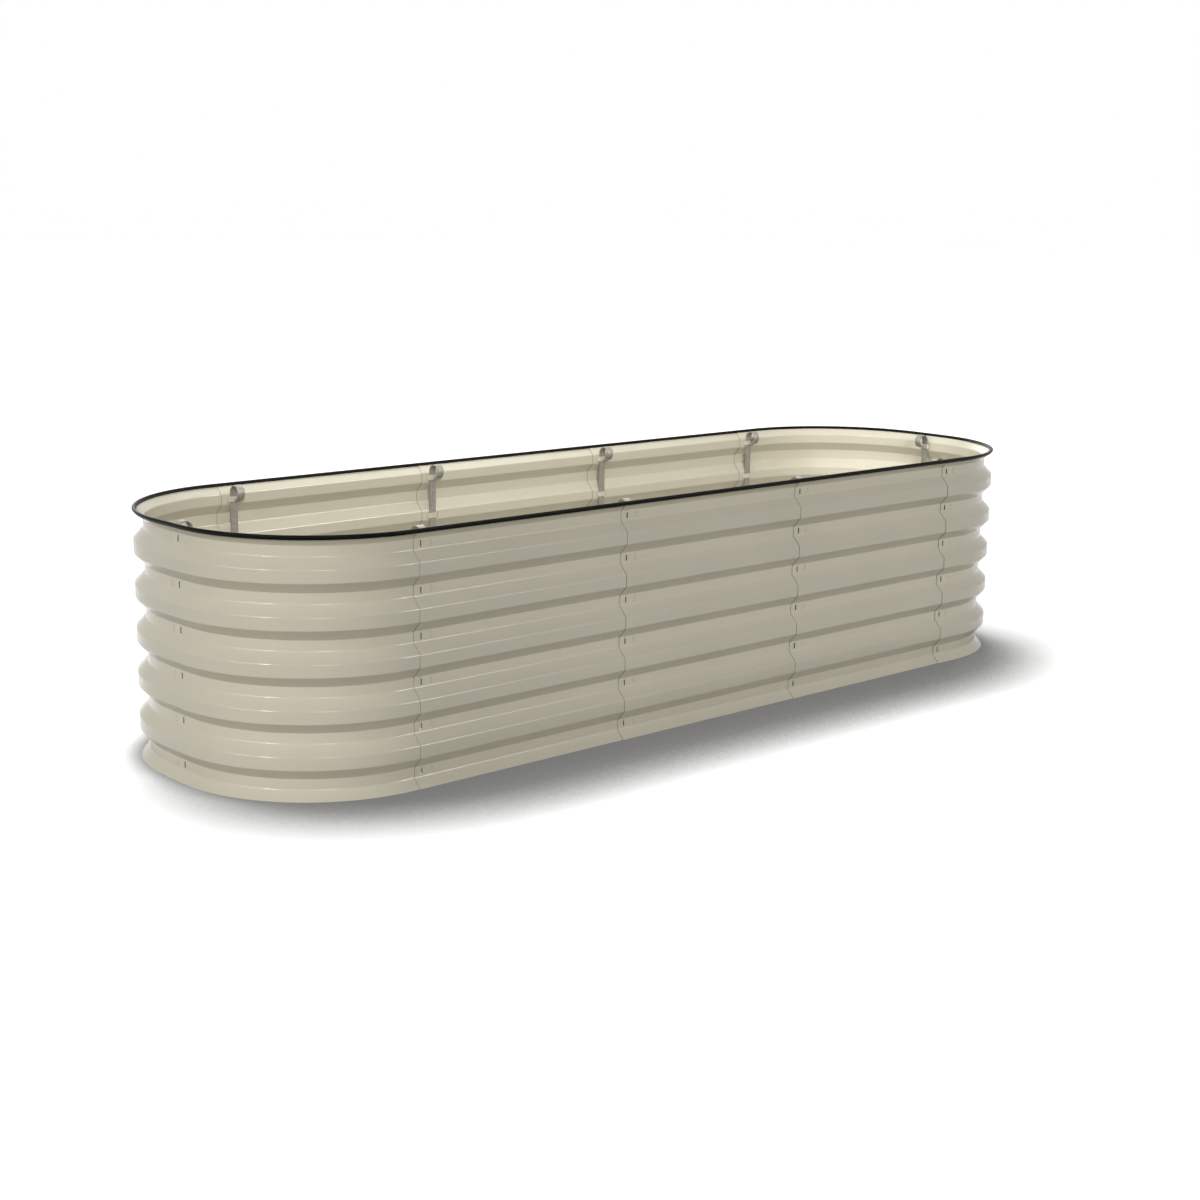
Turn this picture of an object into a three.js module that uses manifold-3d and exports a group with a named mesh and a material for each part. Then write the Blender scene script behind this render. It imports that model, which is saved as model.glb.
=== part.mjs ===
// Raised garden bed: an oval wall of lapped corrugated panels that stands open at the top and bottom.
// The first end of each panel laps outside the last end of the panel before it. At every lap the outer
// sheet has keeper straps, whose legs pass in through two slots of it and a window of the inner sheet,
// and a flat pin drops down between the inner sheet and the straps.
// Millimetres, +Z up. The origin is on the ground in the middle of the bed, +X runs along its length.
import * as THREE from 'three';
import { mergeVertices } from 'three/addons/utils/BufferGeometryUtils.js';
import Module from 'manifold-3d';

// The plan: a rounded rectangle, measured to the crests of the corrugation.
const HALF_WIDTH = 304.8;
const PANEL_PITCH = 457.2; // joint to joint along a straight panel
const STRAIGHTS_PER_SIDE = 3;
const JOINT_FLAT = 38; // straight length kept on each side of a joint
const LAP_REACH = 25; // how far each sheet runs past its joint
const CORNER_RADIUS = HALF_WIDTH - JOINT_FLAT;
const CORNER_STEPS = 9;
const FIRST_JOINT_X = (PANEL_PITCH * STRAIGHTS_PER_SIDE) / 2;

// The sheet and its corrugation, which runs round the bed. Depth is measured inwards from the crests.
const PANEL_HEIGHT = 431.8;
const SHEET = 0.7;
const RIB_PITCH = 76.2;
const RIB_COUNT = 6;
const RIB_DEPTH = 17;
const VALLEY_FLAT = 18.4;
const SLOPE_HEIGHT = 18;
const FIRST_VALLEY = (PANEL_HEIGHT - RIB_PITCH * (RIB_COUNT - 1)) / 2;
const SLOPE_ANGLE = Math.atan(RIB_DEPTH / SLOPE_HEIGHT); // from the vertical
const EDGE_DEPTH = RIB_DEPTH * (1 - (FIRST_VALLEY - VALLEY_FLAT / 2) / SLOPE_HEIGHT);
const LAP_STEP = 1.6; // a panel starts this far outside the crest plane and ends on it

// The lock at each valley of a joint.
const STRAP_HALF_LENGTH = 13;
const STRAP_LEG = 3.6; // length along the wall of a strap's leg, and of the slot that it passes through
const STRAP_HEIGHT = 10;
const SLOT_PLAY = 0.3; // above and below a leg in its slot
const STRAP_ROOT = 1.4; // how far a strap runs into the sheet beyond its slot
const ROOT_INSET = 0.1; // how far a root lies below either face of the sheet
const WINDOW_CLEARANCE = 1;
const PUNCH = 8; // how deep the cutting blocks reach through the sheet

// The pin.
const PIN_WIDTH = 14.8;
const PIN_THICKNESS = 2.4;
const PIN_FOOT = 1; // height of its lower end above the ground
const PIN_GAP = 0.3;
const EYE_RADIUS = 14.2;
const EYE_TOP = 433.2;
const EYE_END = THREE.MathUtils.degToRad(-95); // where the roll stops, under its centre
const EYE_STEPS = 8;

// The rim trim: a soft channel whose legs follow the slope that the sheets end on.
const TRIM_WALL = 1.75;
const TRIM_CROWN = 1.6;
const TRIM_GAP = 0.3;
const TRIM_LEG = 6.1;
const TRIM_SEAM = 0.6;
const FRONT_SEAM_X = 228.6;
const BACK_SEAM_X = -358;

const QUARTER_TURN = Math.PI / 2;

const wasm = await Module();
wasm.setup();

function makeMaterial(name, color, roughness, metalness) {
  return new THREE.MeshStandardMaterial({ name, color, roughness, metalness });
}

const painted = makeMaterial('painted_sheet', 0xcdc6af, 0.5, 0.1);
const steel = makeMaterial('pin_metal', 0x8d887a, 0.45, 0.7);
const rubber = makeMaterial('trim_rubber', 0x141414, 0.4, 0);

// --- solids -------------------------------------------------------------------------------------

function toSolid(geometry) {
  geometry.deleteAttribute('normal');
  geometry.deleteAttribute('uv');
  const merged = mergeVertices(geometry);
  const vertProperties = new Float32Array(merged.attributes.position.array);
  const triVerts = new Uint32Array(merged.index.array);
  return new wasm.Manifold(new wasm.Mesh({ numProp: 3, vertProperties, triVerts }));
}

function toGeometry(solid) {
  const mesh = solid.getMesh();
  const geometry = new THREE.BufferGeometry();
  geometry.setAttribute('position', new THREE.BufferAttribute(new Float32Array(mesh.vertProperties), 3));
  geometry.setIndex(new THREE.BufferAttribute(new Uint32Array(mesh.triVerts), 1));
  geometry.computeVertexNormals();
  return geometry;
}

// A stop is a place on a plan line: its point, its heading and the distance walked to it.
// The bed always lies to the left of the heading.
function advance(stop, length, radius) {
  const turn = radius ? length / radius : 0;
  const chord = radius ? 2 * radius * Math.sin(turn / 2) : length;
  const along = stop.heading + turn / 2;
  return {
    x: stop.x + chord * Math.cos(along),
    y: stop.y + chord * Math.sin(along),
    heading: stop.heading + turn,
    walked: stop.walked + length,
  };
}

// Runs are lengths of straight wall, or 'corner' for a quarter turn to the left.
function walk(start, runs) {
  const stops = [{ ...start, walked: 0 }];
  for (const run of runs) {
    const corner = run === 'corner';
    const steps = corner ? CORNER_STEPS : 1;
    const step = corner ? (CORNER_RADIUS * QUARTER_TURN) / steps : run;
    for (let i = 0; i < steps; i += 1) {
      stops.push(advance(stops.at(-1), step, corner ? CORNER_RADIUS : 0));
    }
  }
  return stops;
}

// Sweeps a section of [depth, height] points, counter-clockwise with depth to the right, along stops.
// shift(stop) moves the section outwards there.
function sweep(section, stops, shift = () => 0) {
  const size = section.length;
  const positions = [];
  for (const stop of stops) {
    const inwardX = -Math.sin(stop.heading);
    const inwardY = Math.cos(stop.heading);
    for (const [depth, height] of section) {
      const inward = depth - shift(stop);
      positions.push(stop.x + inward * inwardX, stop.y + inward * inwardY, height);
    }
  }
  const faces = [];
  for (let i = 0; i + 1 < stops.length; i += 1) {
    for (let k = 0; k < size; k += 1) {
      const a = i * size + k;
      const b = i * size + ((k + 1) % size);
      faces.push(a, b, b + size, a, b + size, a + size);
    }
  }
  const last = (stops.length - 1) * size;
  const contour = section.map(([depth, height]) => new THREE.Vector2(depth, height));
  for (const [a, b, c] of THREE.ShapeUtils.triangulateShape(contour, [])) {
    faces.push(c, b, a, a + last, b + last, c + last);
  }
  const geometry = new THREE.BufferGeometry();
  geometry.setAttribute('position', new THREE.Float32BufferAttribute(positions, 3));
  geometry.setIndex(faces);
  geometry.computeVertexNormals();
  return geometry;
}

// --- corrugated panels --------------------------------------------------------------------------

function valleyHeight(index) {
  return FIRST_VALLEY + index * RIB_PITCH;
}

// One face of the corrugated sheet from the ground up: inset 0 is the outside, SHEET the inside.
function sheetFace(inset) {
  const bend = inset * Math.tan(SLOPE_ANGLE / 2);
  const edge = EDGE_DEPTH + inset / Math.cos(SLOPE_ANGLE);
  const points = [[edge, 0]];
  for (let i = 0; i < RIB_COUNT; i += 1) {
    const reach = VALLEY_FLAT / 2;
    const valley = valleyHeight(i);
    points.push([RIB_DEPTH + inset, valley - reach - bend], [RIB_DEPTH + inset, valley + reach + bend]);
    if (i + 1 < RIB_COUNT) {
      const next = valleyHeight(i + 1);
      const crest = reach + SLOPE_HEIGHT;
      points.push([inset, valley + crest + bend], [inset, next - crest - bend]);
    }
  }
  points.push([edge, PANEL_HEIGHT]);
  return points;
}

const sheetSection = [...sheetFace(SHEET), ...sheetFace(0).reverse()];

// A block that punches one opening through a valley, its middle the given way along from a joint.
function punch(joint, along, halfLength, height, valley) {
  const block = new THREE.BoxGeometry(2 * halfLength, PUNCH, height);
  block.translate(along, RIB_DEPTH, valley);
  block.rotateZ(joint.heading);
  block.translate(joint.x, joint.y, 0);
  return toSolid(block);
}

// How far the straps stand in: behind the inner sheet with the pin between, clear of both.
const PIN_FRONT = RIB_DEPTH + SHEET + PIN_GAP;
const PIN_BACK = PIN_FRONT + PIN_THICKNESS;
const STRAP_FRONT = PIN_BACK + PIN_GAP;

// A strap seen from above: two legs and a flat between them, its ends rooted inside the sheet.
function strap(valley, lap) {
  const outside = RIB_DEPTH - lap;
  const rise = STRAP_FRONT - outside;
  const slant = STRAP_LEG / rise;
  const strapBack = STRAP_FRONT + SHEET;
  const flatFront = STRAP_HALF_LENGTH - STRAP_LEG;
  const flatBack = flatFront + SHEET * Math.tan(Math.atan2(rise, STRAP_LEG) / 2);
  const rootFront = outside + ROOT_INSET;
  const rootBack = outside + SHEET - ROOT_INSET;
  const rootEnd = STRAP_HALF_LENGTH + STRAP_ROOT;
  const legFront = STRAP_HALF_LENGTH - ROOT_INSET * slant;
  const legBack = flatBack + (strapBack - rootBack) * slant;
  const front = [[rootEnd, rootFront], [legFront, rootFront], [flatFront, STRAP_FRONT]];
  const back = [[flatBack, strapBack], [legBack, rootBack], [rootEnd, rootBack]];
  const mirrored = (points) => points.map(([along, depth]) => [-along, depth]).reverse();
  const outline = [...front, ...mirrored(front), ...mirrored(back), ...back];
  const shape = new THREE.Shape(outline.map(([along, depth]) => new THREE.Vector2(along, depth)));
  const body = new THREE.ExtrudeGeometry(shape, { depth: STRAP_HEIGHT, bevelEnabled: false });
  body.translate(0, 0, valley - STRAP_HEIGHT / 2);
  return toSolid(body);
}

// A panel runs from the joint at the local origin, heading +X, through the given runs to its far joint.
// Its first end is the outer sheet of a lap and carries straps; its last end, the inner, has windows.
function panelGeometry(runs) {
  const stops = walk({ x: -LAP_REACH, y: 0, heading: 0 }, runs);
  const length = stops.at(-1).walked;
  const lapAt = (walked) => LAP_STEP * (1 - walked / length);
  const farJoint = advance(stops.at(-1), -LAP_REACH, 0);
  const nearJoint = { x: 0, y: 0, heading: 0 };
  let panel = toSolid(sweep(sheetSection, stops, (stop) => lapAt(stop.walked)));
  const slotMiddle = STRAP_HALF_LENGTH - STRAP_LEG / 2;
  const slotHeight = STRAP_HEIGHT + 2 * SLOT_PLAY;
  const windowReach = STRAP_HALF_LENGTH + WINDOW_CLEARANCE;
  const windowHeight = STRAP_HEIGHT + 2 * WINDOW_CLEARANCE;
  for (let i = 0; i < RIB_COUNT; i += 1) {
    const valley = valleyHeight(i);
    for (const side of [-1, 1]) {
      panel = panel.subtract(punch(nearJoint, side * slotMiddle, STRAP_LEG / 2, slotHeight, valley));
    }
    panel = panel.add(strap(valley, lapAt(LAP_REACH)));
    panel = panel.subtract(punch(farJoint, 0, windowReach, windowHeight, valley));
  }
  return toGeometry(panel);
}

// --- pins ---------------------------------------------------------------------------------------

// A flat bar whose top is rolled inwards into an eye: one outline, extruded along the wall.
function pinGeometry() {
  const eyeDepth = PIN_FRONT + EYE_RADIUS;
  const eyeHeight = EYE_TOP - EYE_RADIUS;
  const shape = new THREE.Shape();
  shape.moveTo(PIN_BACK, PIN_FOOT);
  shape.lineTo(PIN_BACK, eyeHeight);
  shape.absarc(eyeDepth, eyeHeight, EYE_RADIUS - PIN_THICKNESS, Math.PI, EYE_END, true);
  shape.lineTo(eyeDepth + EYE_RADIUS * Math.cos(EYE_END), eyeHeight + EYE_RADIUS * Math.sin(EYE_END));
  shape.absarc(eyeDepth, eyeHeight, EYE_RADIUS, EYE_END, Math.PI, false);
  shape.lineTo(PIN_FRONT, PIN_FOOT);
  const extrusion = { depth: PIN_WIDTH, bevelEnabled: false, curveSegments: EYE_STEPS };
  const geometry = new THREE.ExtrudeGeometry(shape, extrusion);
  geometry.translate(0, 0, -PIN_WIDTH / 2);
  const alongWall = new THREE.Vector3(1, 0, 0);
  const inward = new THREE.Vector3(0, 1, 0);
  const up = new THREE.Vector3(0, 0, 1);
  geometry.applyMatrix4(new THREE.Matrix4().makeBasis(inward, up, alongWall));
  return geometry;
}

// --- rim trim -----------------------------------------------------------------------------------

// The channel is drawn along the slope: up runs out of the sheet's edge and out is square to the sheet.
function trimSection() {
  const slotOut = LAP_STEP * Math.cos(SLOPE_ANGLE) + TRIM_GAP;
  const slotIn = -(SHEET + TRIM_GAP);
  const slotTop = LAP_STEP * Math.sin(SLOPE_ANGLE) + TRIM_GAP;
  const crown = slotTop + TRIM_CROWN;
  const foot = slotTop - TRIM_LEG;
  const faceOut = slotOut + TRIM_WALL;
  const faceIn = slotIn - TRIM_WALL;
  const channel = [
    [foot, faceIn], [crown - TRIM_WALL, faceIn], [crown, slotIn],
    [crown, slotOut], [crown - TRIM_WALL, faceOut], [foot, faceOut],
    [foot, slotOut], [slotTop, slotOut], [slotTop, slotIn], [foot, slotIn],
  ];
  const sin = Math.sin(SLOPE_ANGLE);
  const cos = Math.cos(SLOPE_ANGLE);
  return channel.map(([up, out]) => [
    EDGE_DEPTH - up * sin - out * cos,
    PANEL_HEIGHT + up * cos - out * sin,
  ]);
}

// Each strip runs from a seam on one long side, round one end of the bed, to the seam on the other.
function trimGeometry(start, fromX, toX) {
  const straightEnd = FIRST_JOINT_X + JOINT_FLAT - TRIM_SEAM / 2;
  const runs = [straightEnd - fromX, 'corner', 2 * JOINT_FLAT, 'corner', straightEnd - toX];
  return sweep(trimSection(), walk(start, runs));
}

// --- the bed ------------------------------------------------------------------------------------

const bed = new THREE.Group();

function addMesh(parent, name, geometry, material) {
  const mesh = new THREE.Mesh(geometry, material);
  mesh.name = name;
  parent.add(mesh);
  return mesh;
}

// A group whose local origin is a joint of the wall and whose +X points along the wall from it.
function jointGroup(x, y, heading) {
  const group = new THREE.Group();
  group.position.set(x, y, 0);
  group.rotation.z = heading;
  bed.add(group);
  return group;
}

const straightPanel = panelGeometry([PANEL_PITCH + 2 * LAP_REACH]);
const cornerPanel = panelGeometry([LAP_REACH + JOINT_FLAT, 'corner', JOINT_FLAT + LAP_REACH]);
const wallPin = pinGeometry();

// The two halves of the bed are alike, turned half round: a long side, a corner, an end and a corner.
const endX = FIRST_JOINT_X + HALF_WIDTH;
const halves = [
  { turn: 1, side: 'front', end: 'right_end', leaving: 'front_right', entering: 'back_right' },
  { turn: -1, side: 'back', end: 'left_end', leaving: 'back_left', entering: 'front_left' },
];
for (const { turn, side, end, leaving, entering } of halves) {
  const heading = turn > 0 ? 0 : Math.PI;
  for (let i = 0; i <= STRAIGHTS_PER_SIDE; i += 1) {
    const joint = jointGroup(turn * (i * PANEL_PITCH - FIRST_JOINT_X), -turn * HALF_WIDTH, heading);
    addMesh(joint, `wall_pin_${side}_${i + 1}`, wallPin, steel);
    if (i < STRAIGHTS_PER_SIDE) {
      addMesh(joint, `straight_panel_${side}_${i + 1}`, straightPanel, painted);
    } else {
      addMesh(joint, `corner_panel_${leaving}`, cornerPanel, painted);
    }
  }
  const endJoint = jointGroup(turn * endX, 0, heading + QUARTER_TURN);
  addMesh(endJoint, `wall_pin_${end}`, wallPin, steel);
  addMesh(endJoint, `corner_panel_${entering}`, cornerPanel, painted);
}

const frontSeam = { x: FRONT_SEAM_X + TRIM_SEAM / 2, y: -HALF_WIDTH, heading: 0 };
const backSeam = { x: BACK_SEAM_X - TRIM_SEAM / 2, y: HALF_WIDTH, heading: Math.PI };
addMesh(bed, 'rim_trim_right', trimGeometry(frontSeam, FRONT_SEAM_X, BACK_SEAM_X), rubber);
addMesh(bed, 'rim_trim_left', trimGeometry(backSeam, -BACK_SEAM_X, -FRONT_SEAM_X), rubber);

export default bed;
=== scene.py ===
"""Looks of the oval raised garden bed: fine meshes, materials, floor, lights and camera round the CAD frame.

Lengths are in millimetres up to MM, which turns them into Blender's metres. A section point is
(depth, height): depth is measured inwards from the crests of the corrugation, height from the ground.
"""

import math

import bpy
import numpy as np
from mathutils import Matrix, Vector


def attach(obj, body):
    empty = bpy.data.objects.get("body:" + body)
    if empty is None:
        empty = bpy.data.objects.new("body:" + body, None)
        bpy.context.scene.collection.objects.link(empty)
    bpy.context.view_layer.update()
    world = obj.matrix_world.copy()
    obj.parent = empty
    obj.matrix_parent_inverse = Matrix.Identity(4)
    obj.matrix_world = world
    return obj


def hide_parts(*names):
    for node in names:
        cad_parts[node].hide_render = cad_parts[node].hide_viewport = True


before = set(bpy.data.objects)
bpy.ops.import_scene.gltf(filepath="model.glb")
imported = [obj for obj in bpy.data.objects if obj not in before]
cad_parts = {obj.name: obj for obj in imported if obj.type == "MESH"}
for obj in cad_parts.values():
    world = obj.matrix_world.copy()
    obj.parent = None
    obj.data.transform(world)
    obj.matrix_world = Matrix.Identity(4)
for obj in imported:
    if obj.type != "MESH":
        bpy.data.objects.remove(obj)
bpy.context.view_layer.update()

MM = 0.001
QUARTER_TURN = math.pi / 2

# The plan, as in the CAD model.
HALF_WIDTH = 304.8
PANEL_PITCH = 457.2
STRAIGHTS_PER_SIDE = 3
JOINT_FLAT = 38.0
LAP_REACH = 25.0
CORNER_RADIUS = HALF_WIDTH - JOINT_FLAT
FIRST_JOINT_X = PANEL_PITCH * STRAIGHTS_PER_SIDE / 2
CORNER_ARC = CORNER_RADIUS * QUARTER_TURN

# The sheet.
PANEL_HEIGHT = 431.8
SHEET = 0.7
RIB_PITCH = 76.2
RIB_COUNT = 6
RIB_DEPTH = 17.0
VALLEY_FLAT = 18.4
SLOPE_HEIGHT = 18.0
FIRST_VALLEY = (PANEL_HEIGHT - RIB_PITCH * (RIB_COUNT - 1)) / 2
SLOPE_ANGLE = math.atan(RIB_DEPTH / SLOPE_HEIGHT)
EDGE_DEPTH = RIB_DEPTH * (1 - (FIRST_VALLEY - VALLEY_FLAT / 2) / SLOPE_HEIGHT)
BEND_RADIUS = 4.0
BEND_STEPS = 7
LAP_STEP = 1.6

# The lock at a joint.
STRAP_HALF_LENGTH = 13.0
STRAP_LEG = 3.6
STRAP_HALF_HEIGHT = 5.0
STRAP_ROOT = 1.2
ROOT_INSET = 0.1
LEG_STEPS = 8
SLOT_PLAY = 0.3
WINDOW_CLEARANCE = 1.0
PIN_WIDTH = 14.8
PIN_THICKNESS = 2.4
PIN_FOOT = 1.0
PIN_GAP = 0.3
PIN_FRONT = RIB_DEPTH + SHEET + PIN_GAP
STRAP_FRONT = PIN_FRONT + PIN_THICKNESS + PIN_GAP
EYE_RADIUS = 14.2
EYE_TOP = 433.2
EYE_END = math.radians(-95)
EYE_STEPS = 56
PIN_EDGE_RADIUS = 0.5

# The rim trim.
TRIM_WALL = 1.75
TRIM_CROWN = 1.6
TRIM_GAP = 0.3
TRIM_LEG = 6.1
TRIM_SEAM = 0.6
TRIM_CROWN_RADIUS = 2.9
TRIM_LIP = TRIM_WALL * 0.4
FRONT_SEAM_X = 228.6
BACK_SEAM_X = -358.0

# Spacing of the mesh lines, and the angle past which an edge between faces is sharp.
ARC_STEP = math.radians(2.5)
STRAIGHT_STEP = 30.0
EDGE_MARGIN = 2.0
SHARP_ANGLE = math.radians(32)


# --- camera -------------------------------------------------------------------------------------

CAMERA_PLACE = (-2.54207, -2.71762, 0.95866)
CAMERA_AZIMUTH = 42.6948
CAMERA_DOWN = 11.9161
CAMERA_ROLL = -0.8364
CAMERA_LENS = 57.526
SENSOR_WIDTH = 36.0
CLIP_END = 100


def make_camera():
    azimuth, down, roll = (math.radians(a) for a in (CAMERA_AZIMUTH, CAMERA_DOWN, CAMERA_ROLL))
    ahead = Vector((math.sin(azimuth) * math.cos(down), math.cos(azimuth) * math.cos(down), -math.sin(down)))
    right = Vector((math.cos(azimuth), -math.sin(azimuth), 0))
    up = right.cross(ahead)
    rolled_right = right * math.cos(roll) - up * math.sin(roll)
    rolled_up = right * math.sin(roll) + up * math.cos(roll)
    data = bpy.data.cameras.new("photo_camera")
    data.sensor_width = SENSOR_WIDTH
    data.lens = CAMERA_LENS
    data.clip_end = CLIP_END
    camera = bpy.data.objects.new("photo_camera", data)
    bpy.context.collection.objects.link(camera)
    turn = Matrix((rolled_right, rolled_up, -ahead)).transposed()
    camera.matrix_world = Matrix.Translation(CAMERA_PLACE) @ turn.to_4x4()
    bpy.context.scene.camera = camera


make_camera()


# --- materials ----------------------------------------------------------------------------------

# Noise seldom leaves this middle range; it is what colours and roughness are spread over.
NOISE_LOW = 0.3
NOISE_HIGH = 0.7

# Colours as (darkest, lightest), linear.
PAINT_COLOURS = ((0.628, 0.589, 0.466), (0.656, 0.615, 0.490))
# The sheared-edge colour is darker than bare steel alone: painted shade standing for the shadow in lap gaps,
# slots and windows.
BARE_EDGE_AND_GAP_SHADE_COLOURS = ((0.085, 0.080, 0.062), (0.120, 0.112, 0.088))
STEEL_COLOURS = ((0.235, 0.224, 0.186), (0.310, 0.296, 0.250))
RUBBER_COLOURS = ((0.0030, 0.0028, 0.0022), (0.0060, 0.0056, 0.0044))

def new_material(name):
    material = bpy.data.materials.new(name)
    material.use_nodes = True
    tree = material.node_tree
    tree.nodes.clear()
    output = tree.nodes.new("ShaderNodeOutputMaterial")
    shader = tree.nodes.new("ShaderNodeBsdfPrincipled")
    tree.links.new(shader.outputs["BSDF"], output.inputs["Surface"])
    place = tree.nodes.new("ShaderNodeTexCoord")
    return material, tree, shader, place.outputs["Object"]


def noise(tree, place, scale, detail=2.0, stretch=None):
    """A noise texture's output, between 0 and 1; scale is in waves per metre, stretch scales its axes."""
    if stretch:
        mapping = tree.nodes.new("ShaderNodeMapping")
        mapping.inputs["Scale"].default_value = stretch
        tree.links.new(place, mapping.inputs["Vector"])
        place = mapping.outputs["Vector"]
    node = tree.nodes.new("ShaderNodeTexNoise")
    node.inputs["Scale"].default_value = scale
    node.inputs["Detail"].default_value = detail
    tree.links.new(place, node.inputs["Vector"])
    return node.outputs["Fac"]


def spread(tree, value, low, high):
    """value's middle range mapped to low to high."""
    node = tree.nodes.new("ShaderNodeMapRange")
    node.inputs["From Min"].default_value = NOISE_LOW
    node.inputs["From Max"].default_value = NOISE_HIGH
    node.inputs["To Min"].default_value = low
    node.inputs["To Max"].default_value = high
    tree.links.new(value, node.inputs["Value"])
    return node.outputs["Result"]


def blend_colours(tree, value, colours):
    darkest, lightest = colours
    ramp = tree.nodes.new("ShaderNodeValToRGB")
    ramp.color_ramp.elements[0].position = NOISE_LOW
    ramp.color_ramp.elements[0].color = (*darkest, 1)
    ramp.color_ramp.elements[1].position = NOISE_HIGH
    ramp.color_ramp.elements[1].color = (*lightest, 1)
    tree.links.new(value, ramp.inputs["Fac"])
    return ramp.outputs["Color"]


def roughen(tree, shader, heights):
    """Chains one bump for each (value, distance in metres, strength)."""
    normal = None
    for value, distance, strength in heights:
        bump = tree.nodes.new("ShaderNodeBump")
        bump.inputs["Distance"].default_value = distance
        bump.inputs["Strength"].default_value = strength
        tree.links.new(value, bump.inputs["Height"])
        if normal:
            tree.links.new(normal, bump.inputs["Normal"])
        normal = bump.outputs["Normal"]
    tree.links.new(normal, shader.inputs["Normal"])


def paint_material():
    """Satin ivory coating on steel sheet: an even colour, a fine orange peel and long shallow waves."""
    material, tree, shader, place = new_material("ivory_paint")
    cloud = noise(tree, place, scale=5, detail=3)
    colour = blend_colours(tree, cloud, PAINT_COLOURS)
    tree.links.new(colour, shader.inputs["Base Color"])
    gloss = noise(tree, place, scale=35, detail=3)
    tree.links.new(spread(tree, gloss, low=0.19, high=0.23), shader.inputs["Roughness"])
    shader.inputs["IOR"].default_value = 1.45
    shader.inputs["Specular IOR Level"].default_value = 0.35
    waves = noise(tree, place, scale=9, detail=1, stretch=(1, 1, 0.6))
    peel = noise(tree, place, scale=700, detail=1)
    roughen(tree, shader, [(waves, 0.002, 0.25), (peel, 0.0001, 0.25)])
    return material


def bare_edge_and_gap_shade_material():
    """Bare steel where the painted sheet was sheared, dull and dark: partly the bare edge, partly painted
    shade for the shadow in lap gaps, slots and windows.
    """
    material, tree, shader, place = new_material("cut_steel_edge_and_painted_shade")
    grain = noise(tree, place, scale=1500, detail=2)
    colour = blend_colours(tree, noise(tree, place, scale=80, detail=2), BARE_EDGE_AND_GAP_SHADE_COLOURS)
    tree.links.new(colour, shader.inputs["Base Color"])
    tree.links.new(spread(tree, grain, low=0.5, high=0.65), shader.inputs["Roughness"])
    roughen(tree, shader, [(grain, 0.0001, 0.3)])
    return material


def steel_material():
    """Dull grey coated steel of the pins, mottled, with faint lines along the bar."""
    material, tree, shader, place = new_material("pin_steel")
    lines = noise(tree, place, scale=900, detail=3, stretch=(1, 1, 0.02))
    mottle = noise(tree, place, scale=140, detail=3)
    colour = blend_colours(tree, mottle, STEEL_COLOURS)
    tree.links.new(colour, shader.inputs["Base Color"])
    tree.links.new(spread(tree, lines, low=0.48, high=0.6), shader.inputs["Roughness"])
    shader.inputs["Metallic"].default_value = 0.3
    roughen(tree, shader, [(lines, 0.0001, 0.3), (mottle, 0.0004, 0.3)])
    return material


def rubber_material():
    """Black soft rubber of the trim, slightly glossy."""
    material, tree, shader, place = new_material("black_rubber")
    grain = noise(tree, place, scale=1200, detail=2)
    colour = blend_colours(tree, noise(tree, place, scale=40, detail=2), RUBBER_COLOURS)
    tree.links.new(colour, shader.inputs["Base Color"])
    tree.links.new(spread(tree, grain, low=0.30, high=0.40), shader.inputs["Roughness"])
    shader.inputs["Specular IOR Level"].default_value = 0.04
    roughen(tree, shader, [(grain, 0.0001, 0.3)])
    return material


PAINT = paint_material()
EDGE_AND_GAP_SHADE_MATERIAL = bare_edge_and_gap_shade_material()
STEEL = steel_material()
RUBBER = rubber_material()


# --- meshes -------------------------------------------------------------------------------------


def make_object(name, points, faces, materials, body, node, second=()):
    """A smooth-shaded piece from points in millimetres. It rides on body and stands for the CAD node.

    second lists the faces that have the second material.
    """
    mesh = bpy.data.meshes.new(name)
    mesh.from_pydata((np.asarray(points) * MM).tolist(), [], faces)
    mesh.shade_smooth()
    mesh.set_sharp_from_angle(angle=SHARP_ANGLE)
    for material in materials:
        mesh.materials.append(material)
    for face in second:
        mesh.polygons[face].material_index = 1
    piece = bpy.data.objects.new(name, mesh)
    bpy.context.collection.objects.link(piece)
    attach(piece, body)
    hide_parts(node)
    return piece


def walk(start, runs, distances):
    """(x, y, heading) at each distance from start along runs of (length, radius); radius 0 is straight.

    All turns are to the left.
    """
    stops = []
    for distance in distances:
        x, y, heading = start
        left = distance
        for length, radius in runs:
            step = min(left, length)
            turn = step / radius if radius else 0.0
            chord = 2 * radius * math.sin(turn / 2) if radius else step
            x += chord * math.cos(heading + turn / 2)
            y += chord * math.sin(heading + turn / 2)
            heading += turn
            left -= step
            if left <= 0:
                break
        stops.append((x, y, heading))
    return np.array(stops)


def mesh_lines(runs, extra=()):
    """Distances along runs for the mesh lines: close on arcs, wide on straights, and the extra ones."""
    lines = list(extra)
    start = 0.0
    for length, radius in runs:
        step = ARC_STEP * radius if radius else STRAIGHT_STEP
        lines += list(np.linspace(start, start + length, max(1, round(length / step)) + 1))
        start += length
    return np.unique(np.round(lines, 3))


def place_section(stops, depths, heights):
    """Points of a section carried along stops. depths and heights are stops x points, or just points."""
    inward = np.stack([-np.sin(stops[:, 2]), np.cos(stops[:, 2])], axis=1)
    depths = np.broadcast_to(depths, (len(stops), np.shape(depths)[-1]))
    heights = np.broadcast_to(heights, depths.shape)
    flat = stops[:, None, :2] + depths[:, :, None] * inward[:, None, :]
    return np.concatenate([flat, heights[:, :, None]], axis=2)


# --- corrugated panels --------------------------------------------------------------------------

BEND_TANGENT = BEND_RADIUS * math.tan(SLOPE_ANGLE / 2)
VALLEY_BEND_START = VALLEY_FLAT / 2 - BEND_TANGENT
CREST_BEND_END = VALLEY_FLAT / 2 + SLOPE_HEIGHT + BEND_TANGENT
BEND_RISE = BEND_RADIUS * math.sin(SLOPE_ANGLE)


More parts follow.
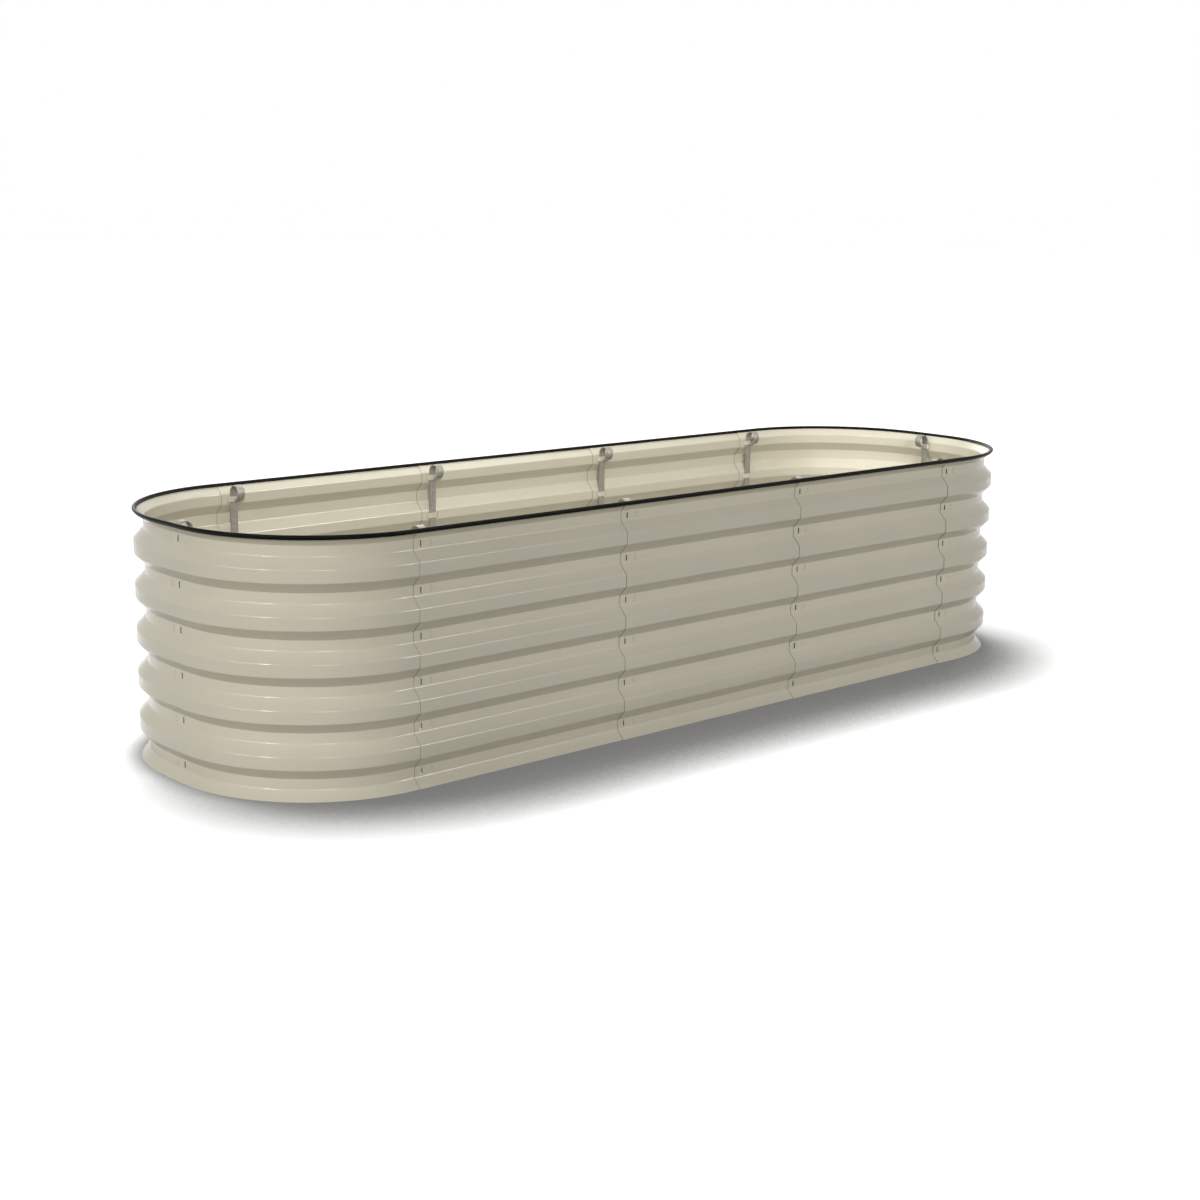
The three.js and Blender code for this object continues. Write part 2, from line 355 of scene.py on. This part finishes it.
def sheet_line(height):
    """(depth, lean, off) of the sheet's outside: lean from the vertical, off from the valley's middle."""
    index = min(max(round((height - FIRST_VALLEY) / RIB_PITCH), 0), RIB_COUNT - 1)
    off = height - (FIRST_VALLEY + index * RIB_PITCH)
    away = abs(off)
    outermost = height < FIRST_VALLEY or height > PANEL_HEIGHT - FIRST_VALLEY
    if away <= VALLEY_BEND_START:
        depth, lean = RIB_DEPTH, 0.0
    elif away < VALLEY_BEND_START + BEND_RISE:
        lean = math.asin((away - VALLEY_BEND_START) / BEND_RADIUS)
        depth = RIB_DEPTH - BEND_RADIUS * (1 - math.cos(lean))
    elif away <= CREST_BEND_END - BEND_RISE or outermost:
        depth, lean = RIB_DEPTH * (1 - (away - VALLEY_FLAT / 2) / SLOPE_HEIGHT), SLOPE_ANGLE
    elif away < CREST_BEND_END:
        lean = math.asin((CREST_BEND_END - away) / BEND_RADIUS)
        depth = BEND_RADIUS * (1 - math.cos(lean))
    else:
        depth, lean = 0.0, 0.0
    return depth, math.copysign(lean, off), off


def sheet_rows():
    """The mesh lines up the sheet: heights, and for both faces depth and height, and off from the valley."""
    bend = [BEND_RADIUS * math.sin(SLOPE_ANGLE * i / BEND_STEPS) for i in range(BEND_STEPS + 1)]
    offs = [0.0, STRAP_HALF_HEIGHT + SLOT_PLAY, STRAP_HALF_HEIGHT + WINDOW_CLEARANCE]
    offs += [VALLEY_BEND_START + b for b in bend] + [CREST_BEND_END - b for b in bend] + [RIB_PITCH / 2]
    heights = {0.0, PANEL_HEIGHT}
    for i in range(RIB_COUNT):
        valley = FIRST_VALLEY + i * RIB_PITCH
        for height in [valley - off for off in offs] + [valley + off for off in offs]:
            if EDGE_MARGIN < height < PANEL_HEIGHT - EDGE_MARGIN:
                heights.add(round(height, 4))
    rows = []
    for height in sorted(heights):
        depth, lean, off = sheet_line(height)
        if height in (0.0, PANEL_HEIGHT):
            inner = (depth + SHEET / math.cos(lean), height)
        else:
            inner = (depth + SHEET * math.cos(lean), height + SHEET * math.sin(lean))
        rows.append((depth, height, *inner, off))
    return np.array(rows)


SHEET_ROWS = sheet_rows()


def ramp(share):
    """A smooth step from 0 to 1."""
    return share * share * (3 - 2 * share)


def ramp_slope(share):
    return 6 * share * (1 - share)


def shell_faces(kept, size):
    """Faces of a shell whose outside and inside are grids of points, with walls where cells end.

    kept says which cells are there. Outside points come first, stop by stop, then the inside ones.
    The walls are the last faces.
    """
    stops, rows = size
    index = np.arange(stops * rows).reshape(stops, rows)
    out, inn = index, index + stops * rows
    i, k = np.nonzero(kept)
    faces = [
        np.stack([out[i, k], out[i + 1, k], out[i + 1, k + 1], out[i, k + 1]], axis=1),
        np.stack([inn[i, k], inn[i, k + 1], inn[i + 1, k + 1], inn[i + 1, k]], axis=1),
    ]
    around = np.pad(kept, 1)
    here = around[1:-1, 1:-1]
    i, k = np.nonzero(here & ~around[:-2, 1:-1])
    faces.append(np.stack([out[i, k], out[i, k + 1], inn[i, k + 1], inn[i, k]], axis=1))
    i, k = np.nonzero(here & ~around[2:, 1:-1])
    faces.append(np.stack([out[i + 1, k], inn[i + 1, k], inn[i + 1, k + 1], out[i + 1, k + 1]], axis=1))
    i, k = np.nonzero(here & ~around[1:-1, :-2])
    faces.append(np.stack([out[i, k], inn[i, k], inn[i + 1, k], out[i + 1, k]], axis=1))
    i, k = np.nonzero(here & ~around[1:-1, 2:])
    faces.append(np.stack([out[i, k + 1], out[i + 1, k + 1], inn[i + 1, k + 1], inn[i, k + 1]], axis=1))
    return np.concatenate(faces)


def drop_unused(points, faces):
    used, faces = np.unique(faces, return_inverse=True)
    return points[used], faces.reshape(-1, 4)


def keeper_straps(joint, lap):
    """Points and faces of the straps behind one joint: at each valley a bent strip, rooted in the sheet."""
    outside = RIB_DEPTH - lap
    leg = np.linspace(STRAP_HALF_LENGTH, STRAP_HALF_LENGTH - STRAP_LEG, LEG_STEPS + 1)
    half = np.concatenate([[STRAP_HALF_LENGTH + STRAP_ROOT], leg])
    along = np.concatenate([-half, half[::-1]])
    share = np.clip((STRAP_HALF_LENGTH - np.abs(along)) / STRAP_LEG, 0, 1)
    rise = STRAP_FRONT - outside
    depth = outside + SHEET / 2 + rise * ramp(share)
    lean = np.arctan(-np.sign(along) * rise / STRAP_LEG * ramp_slope(share))
    half_thick = np.where(share > 0, SHEET / 2, SHEET / 2 - ROOT_INSET)
    stops = np.full((len(along), 3), joint, dtype=float)
    grids = []
    for side in (1, -1):
        moved = along + side * half_thick * np.sin(lean)
        face = stops + np.stack([moved * np.cos(joint[2]), moved * np.sin(joint[2]), 0 * moved], axis=1)
        grids.append((face, (depth - side * half_thick * np.cos(lean))[:, None]))
    strip = shell_faces(np.ones((len(along) - 1, 1), dtype=bool), (len(along), 2))
    points, faces = [], []
    for i in range(RIB_COUNT):
        valley = FIRST_VALLEY + i * RIB_PITCH
        edges = [valley - STRAP_HALF_HEIGHT, valley + STRAP_HALF_HEIGHT]
        faces.append(strip + 4 * len(along) * i)
        for face, deep in grids:
            points.append(place_section(face, np.repeat(deep, 2, axis=1), edges).reshape(-1, 3))
    return np.concatenate(points), np.concatenate(faces)


def make_panel(name, joint, runs, node):
    """A panel from its first joint (x, y, heading) through runs, which count from the sheet's first end.

    Slots and straps are at its first joint, windows at its last.
    """
    length = sum(run[0] for run in runs)
    far_joint = length - LAP_REACH
    slot = (STRAP_HALF_LENGTH - STRAP_LEG, STRAP_HALF_LENGTH)
    window = STRAP_HALF_LENGTH + WINDOW_CLEARANCE
    extra = [LAP_REACH + side * end for side in (-1, 1) for end in slot]
    extra += [LAP_REACH, far_joint - window, far_joint + window]
    lines = mesh_lines(runs, extra)
    x, y, heading = joint
    start = (x - LAP_REACH * math.cos(heading), y - LAP_REACH * math.sin(heading), heading)
    stops = walk(start, runs, lines)
    depth, height, inner_depth, inner_height, off = SHEET_ROWS.T
    lap = LAP_STEP * (1 - lines / length)[:, None]
    outside = place_section(stops, depth[None, :] - lap, height)
    inside = place_section(stops, inner_depth[None, :] - lap, inner_height)

    middle = (lines[:-1] + lines[1:])[:, None] / 2
    cell_off = np.abs(off[:-1] + off[1:])[None, :] / 2
    same_rib = np.abs(off[:-1] - off[1:])[None, :] < RIB_PITCH / 2
    from_joint = np.abs(middle - LAP_REACH)
    slots = (from_joint > slot[0]) & (from_joint < slot[1]) & (cell_off < STRAP_HALF_HEIGHT + SLOT_PLAY)
    windows = (np.abs(middle - far_joint) < window) & (cell_off < STRAP_HALF_HEIGHT + WINDOW_CLEARANCE)
    kept = ~((slots | windows) & same_rib)
    sheet = np.concatenate([outside.reshape(-1, 3), inside.reshape(-1, 3)])
    sheet, sheet_faces = drop_unused(sheet, shell_faces(kept, outside.shape[:2]))
    # Every wall face of the sheet (ends, top and bottom edges, slots, windows) takes the dark edge colour,
    # partly bare steel and partly painted shade of the gaps.
    walls = range(2 * int(kept.sum()), len(sheet_faces))
    straps, strap_faces = keeper_straps(joint, LAP_STEP * (1 - LAP_REACH / length))
    points = np.concatenate([sheet, straps])
    faces = np.concatenate([sheet_faces, strap_faces + len(sheet)])
    make_object(name, points, faces.tolist(), [PAINT, EDGE_AND_GAP_SHADE_MATERIAL], "bed", node, walls)


# --- pins and trim ------------------------------------------------------------------------------


def round_corners(corners, steps=4):
    """A closed outline with rounded corners, from (x, y, radius)."""
    outline = []
    for i, (x, y, radius) in enumerate(corners):
        here = np.array([x, y])
        before = np.array(corners[i - 1][:2]) - here
        after = np.array(corners[(i + 1) % len(corners)][:2]) - here
        if not radius:
            outline.append(here)
            continue
        before = before / np.linalg.norm(before)
        after = after / np.linalg.norm(after)
        centre = here + (before + after) * radius
        for step in range(steps + 1):
            turn = QUARTER_TURN * step / steps
            outline.append(centre - after * radius * math.cos(turn) - before * radius * math.sin(turn))
    return np.array(outline)


def ring_faces(rings, size):
    """Faces of a closed tube of rings, with both ends filled."""
    faces = []
    for r in range(rings - 1):
        for k in range(size):
            a, b = r * size + k, r * size + (k + 1) % size
            faces.append((a, b, b + size, a + size))
    faces.append(tuple(reversed(range(size))))
    faces.append(tuple(range((rings - 1) * size, rings * size)))
    return faces


def make_pin(name, joint, body, node):
    """A flat bar with its top rolled inwards into an eye: a rounded bar section carried up and round."""
    half_width, half_thick = PIN_WIDTH / 2, PIN_THICKNESS / 2
    section = round_corners([
        (-half_width, -half_thick, PIN_EDGE_RADIUS),
        (half_width, -half_thick, PIN_EDGE_RADIUS),
        (half_width, half_thick, PIN_EDGE_RADIUS),
        (-half_width, half_thick, PIN_EDGE_RADIUS),
    ])[::-1]
    eye_depth, eye_height = PIN_FRONT + EYE_RADIUS, EYE_TOP - EYE_RADIUS
    middle_radius = EYE_RADIUS - half_thick
    path = [(eye_depth - middle_radius, height, math.pi) for height in (PIN_FOOT, PIN_FOOT + PIN_EDGE_RADIUS)]
    for angle in np.linspace(math.pi, EYE_END, EYE_STEPS):
        path.append((
            eye_depth + middle_radius * math.cos(angle),
            eye_height + middle_radius * math.sin(angle),
            angle,
        ))
    x, y, heading = joint
    along = np.array([math.cos(heading), math.sin(heading), 0])
    inward = np.array([-math.sin(heading), math.cos(heading), 0])
    up = np.array([0, 0, 1])
    points = []
    for i, (depth, height, angle) in enumerate(path):
        end = i in (0, len(path) - 1)
        shrink = 1 - PIN_EDGE_RADIUS / half_width if end else 1.0
        thin = 1 - PIN_EDGE_RADIUS / half_thick if end else 1.0
        for across, out in section:
            radial = inward * math.cos(angle) + up * math.sin(angle)
            centre = np.array([x, y, 0]) + inward * depth + up * height
            points.append(centre + along * across * shrink + radial * out * thin)
    faces = ring_faces(len(path), len(section))
    make_object(name, points, faces, [STEEL], body, node)


def trim_outline():
    """The channel's section as (depth, height), its legs along the slope that the sheets end on."""
    slot_out = LAP_STEP * math.cos(SLOPE_ANGLE) + TRIM_GAP
    slot_in = -(SHEET + TRIM_GAP)
    slot_top = LAP_STEP * math.sin(SLOPE_ANGLE) + TRIM_GAP
    crown = slot_top + TRIM_CROWN
    foot = slot_top - TRIM_LEG
    face_out, face_in = slot_out + TRIM_WALL, slot_in - TRIM_WALL
    channel = round_corners([
        (foot, face_in, TRIM_LIP),
        (crown, face_in, TRIM_CROWN_RADIUS),
        (crown, face_out, TRIM_CROWN_RADIUS),
        (foot, face_out, TRIM_LIP),
        (foot, slot_out, TRIM_LIP),
        (slot_top, slot_out, 0),
        (slot_top, slot_in, 0),
        (foot, slot_in, TRIM_LIP),
    ], steps=5)
    sin, cos = math.sin(SLOPE_ANGLE), math.cos(SLOPE_ANGLE)
    up, out = channel.T
    return EDGE_DEPTH - up * sin - out * cos, PANEL_HEIGHT + up * cos - out * sin


def make_trim(name, start, from_x, to_x, node):
    straight_end = FIRST_JOINT_X + JOINT_FLAT - TRIM_SEAM / 2
    corner = (CORNER_ARC, CORNER_RADIUS)
    runs = [(straight_end - from_x, 0), corner, (2 * JOINT_FLAT, 0), corner, (straight_end - to_x, 0)]
    stops = walk(start, runs, mesh_lines(runs))
    depths, heights = trim_outline()
    points = place_section(stops, depths, heights).reshape(-1, 3)
    make_object(name, points, ring_faces(len(stops), len(depths)), [RUBBER], "bed", node)


# --- the bed ------------------------------------------------------------------------------------

END_X = FIRST_JOINT_X + HALF_WIDTH
STRAIGHT_RUNS = [(PANEL_PITCH + 2 * LAP_REACH, 0)]
CORNER_RUNS = [(LAP_REACH + JOINT_FLAT, 0), (CORNER_ARC, CORNER_RADIUS), (JOINT_FLAT + LAP_REACH, 0)]

for turn, side, end, leaving, entering in (
    (1, "front", "right_end", "front_right", "back_right"),
    (-1, "back", "left_end", "back_left", "front_left"),
):
    heading = 0.0 if turn > 0 else math.pi
    for number in range(1, STRAIGHTS_PER_SIDE + 2):
        joint = (turn * ((number - 1) * PANEL_PITCH - FIRST_JOINT_X), -turn * HALF_WIDTH, heading)
        place = f"{side}_{number}"
        make_pin(f"rolled_pin_{place}", joint, f"pin_{place}", f"wall_pin_{place}")
        if number <= STRAIGHTS_PER_SIDE:
            make_panel(f"ribbed_sheet_{place}", joint, STRAIGHT_RUNS, f"straight_panel_{place}")
        else:
            make_panel(f"ribbed_corner_{leaving}", joint, CORNER_RUNS, f"corner_panel_{leaving}")
    end_joint = (turn * END_X, 0.0, heading + QUARTER_TURN)
    make_pin(f"rolled_pin_{end}", end_joint, f"pin_{end}", f"wall_pin_{end}")
    make_panel(f"ribbed_corner_{entering}", end_joint, CORNER_RUNS, f"corner_panel_{entering}")

make_trim("edge_strip_right", (FRONT_SEAM_X + TRIM_SEAM / 2, -HALF_WIDTH, 0.0), FRONT_SEAM_X, BACK_SEAM_X,
          "rim_trim_right")
make_trim("edge_strip_left", (BACK_SEAM_X - TRIM_SEAM / 2, HALF_WIDTH, math.pi), -BACK_SEAM_X, -FRONT_SEAM_X,
          "rim_trim_left")


# --- floor, world and lamps ---------------------------------------------------------------------

# The floor, in metres: half its size, its colour for light that bounces off it, and what the camera sees of
# it, a colour and a glow.
FLOOR_HALF = 30.0
FLOOR_BOUNCE = 0.3
FLOOR_SEEN = 0.8
FLOOR_GLOW = 0.8

# The floor's soft shadow, the lesser of two ambient occlusions: one reaches far and looks to SHADOW_SIDE, the
# other is close to the bed all round. Brightness goes from its share at the openness SHADOW_FULL to all of it
# at SHADOW_NONE.
SHADOW_REACH = 0.37
CONTACT_REACH = 0.13
SHADOW_FULL = 0.42
SHADOW_NONE = 0.89
SHADOW_SHARE = 0.17
SHADOW_SIDE = (0.14, 0.75, 0.6)

WORLD_LIGHT = 0.05


def seen_rays(tree):
    """1 for rays that show the background itself: camera, glossy and transmission rays."""
    path = tree.nodes.new("ShaderNodeLightPath")
    value = path.outputs["Is Camera Ray"]
    for name in ("Is Glossy Ray", "Is Transmission Ray"):
        larger = tree.nodes.new("ShaderNodeMath")
        larger.operation = "MAXIMUM"
        tree.links.new(value, larger.inputs[0])
        tree.links.new(path.outputs[name], larger.inputs[1])
        value = larger.outputs["Value"]
    return value


def floor_openness(tree):
    """How open the floor is, the lesser of the two ambient occlusions; 1 is fully open."""
    side = tree.nodes.new("ShaderNodeCombineXYZ")
    for axis, value in zip("XYZ", Vector(SHADOW_SIDE).normalized()):
        side.inputs[axis].default_value = value
    shadow = tree.nodes.new("ShaderNodeAmbientOcclusion")
    shadow.inputs["Distance"].default_value = SHADOW_REACH
    tree.links.new(side.outputs["Vector"], shadow.inputs["Normal"])
    contact = tree.nodes.new("ShaderNodeAmbientOcclusion")
    contact.inputs["Distance"].default_value = CONTACT_REACH
    openness = tree.nodes.new("ShaderNodeMath")
    openness.operation = "MINIMUM"
    tree.links.new(shadow.outputs["AO"], openness.inputs[0])
    tree.links.new(contact.outputs["AO"], openness.inputs[1])
    return openness.outputs["Value"]


def make_floor():
    mesh = bpy.data.meshes.new("floor")
    corners = [(x * FLOOR_HALF, y * FLOOR_HALF, 0) for x, y in ((-1, -1), (1, -1), (1, 1), (-1, 1))]
    mesh.from_pydata(corners, [], [(0, 1, 2, 3)])
    floor = bpy.data.objects.new("floor", mesh)
    bpy.context.collection.objects.link(floor)
    material = bpy.data.materials.new("white_floor")
    material.use_nodes = True
    tree = material.node_tree
    tree.nodes.clear()
    output = tree.nodes.new("ShaderNodeOutputMaterial")
    bounce = tree.nodes.new("ShaderNodeBsdfDiffuse")
    bounce.inputs["Color"].default_value = (FLOOR_BOUNCE, FLOOR_BOUNCE, FLOOR_BOUNCE, 1)
    openness = floor_openness(tree)
    shades = []
    for strength in (FLOOR_SEEN, FLOOR_GLOW):
        shade = tree.nodes.new("ShaderNodeMapRange")
        shade.interpolation_type = "SMOOTHSTEP"
        shade.inputs["From Min"].default_value = SHADOW_FULL
        shade.inputs["From Max"].default_value = SHADOW_NONE
        shade.inputs["To Min"].default_value = strength * SHADOW_SHARE
        shade.inputs["To Max"].default_value = strength
        tree.links.new(openness, shade.inputs["Value"])
        shades.append(shade.outputs["Result"])
    seen = tree.nodes.new("ShaderNodeBsdfDiffuse")
    tree.links.new(shades[0], seen.inputs["Color"])
    glow = tree.nodes.new("ShaderNodeEmission")
    tree.links.new(shades[1], glow.inputs["Strength"])
    both = tree.nodes.new("ShaderNodeAddShader")
    tree.links.new(seen.outputs["BSDF"], both.inputs[0])
    tree.links.new(glow.outputs["Emission"], both.inputs[1])
    choice = tree.nodes.new("ShaderNodeMixShader")
    tree.links.new(seen_rays(tree), choice.inputs["Fac"])
    tree.links.new(bounce.outputs["BSDF"], choice.inputs[1])
    tree.links.new(both.outputs["Shader"], choice.inputs[2])
    tree.links.new(choice.outputs["Shader"], output.inputs["Surface"])
    mesh.materials.append(material)


def make_world():
    world = bpy.data.worlds.new("studio")
    bpy.context.scene.world = world
    world.use_nodes = True
    tree = world.node_tree
    tree.nodes.clear()
    output = tree.nodes.new("ShaderNodeOutputWorld")
    background = tree.nodes.new("ShaderNodeBackground")
    background.inputs["Color"].default_value = (1, 1, 1, 1)
    strength = tree.nodes.new("ShaderNodeMapRange")
    strength.inputs["To Min"].default_value = WORLD_LIGHT
    strength.inputs["To Max"].default_value = 1.0
    tree.links.new(seen_rays(tree), strength.inputs["Value"])
    tree.links.new(strength.outputs["Result"], background.inputs["Strength"])
    tree.links.new(background.outputs["Background"], output.inputs["Surface"])


def make_far_lamp(name, azimuth, elevation, spread_angle, strength, glint=False):
    """A far softbox. Azimuth is the compass direction it stands in, 0 at +Y and 90 at +X.

    A glint lamp shows only as a highlight and adds no other light.
    """
    data = bpy.data.lights.new(name, "SUN")
    data.energy = strength
    data.angle = math.radians(spread_angle)
    lamp = bpy.data.objects.new(name, data)
    bpy.context.collection.objects.link(lamp)
    turn, rise = math.radians(azimuth), math.radians(elevation)
    towards = Vector((math.sin(turn) * math.cos(rise), math.cos(turn) * math.cos(rise), math.sin(rise)))
    lamp.rotation_euler = towards.to_track_quat("Z", "Y").to_euler()
    lamp.visible_diffuse = not glint


def make_softbox(name, place, width, depth, radiance):
    """A panel of light that faces the floor and isn't seen itself."""
    data = bpy.data.lights.new(name, "AREA")
    data.shape = "RECTANGLE"
    data.size = width
    data.size_y = depth
    data.energy = radiance * math.pi * width * depth
    lamp = bpy.data.objects.new(name, data)
    bpy.context.collection.objects.link(lamp)
    lamp.location = place
    lamp.visible_camera = False


make_floor()
make_world()
make_softbox("back_softbox", place=(-0.3, 0.5, 1.5), width=1.4, depth=0.5, radiance=3.6)
make_softbox("overhead_softbox", place=(0.0, 0.0, 1.4), width=1.8, depth=0.5, radiance=0.9)
make_softbox("strip_over_left_half", place=(-0.4, -0.2, 0.95), width=0.8, depth=0.16, radiance=3.3)
make_softbox("strip_over_right_half", place=(0.4, -0.2, 0.95), width=0.8, depth=0.16, radiance=4.0)
make_far_lamp("front_left", azimuth=209, elevation=22, spread_angle=14, strength=1.62)
make_far_lamp("left", azimuth=276, elevation=22, spread_angle=20, strength=1.0)
make_far_lamp("back_high", azimuth=0, elevation=60, spread_angle=35, strength=0.4)
make_far_lamp("back_right_fill", azimuth=30, elevation=25, spread_angle=35, strength=0.7)
make_far_lamp("right_glint", azimuth=145, elevation=20, spread_angle=6, strength=1.5, glint=True)
make_far_lamp("left_glint", azimuth=254, elevation=24, spread_angle=6, strength=2.0, glint=True)

bpy.context.scene.view_settings.view_transform = "Standard"
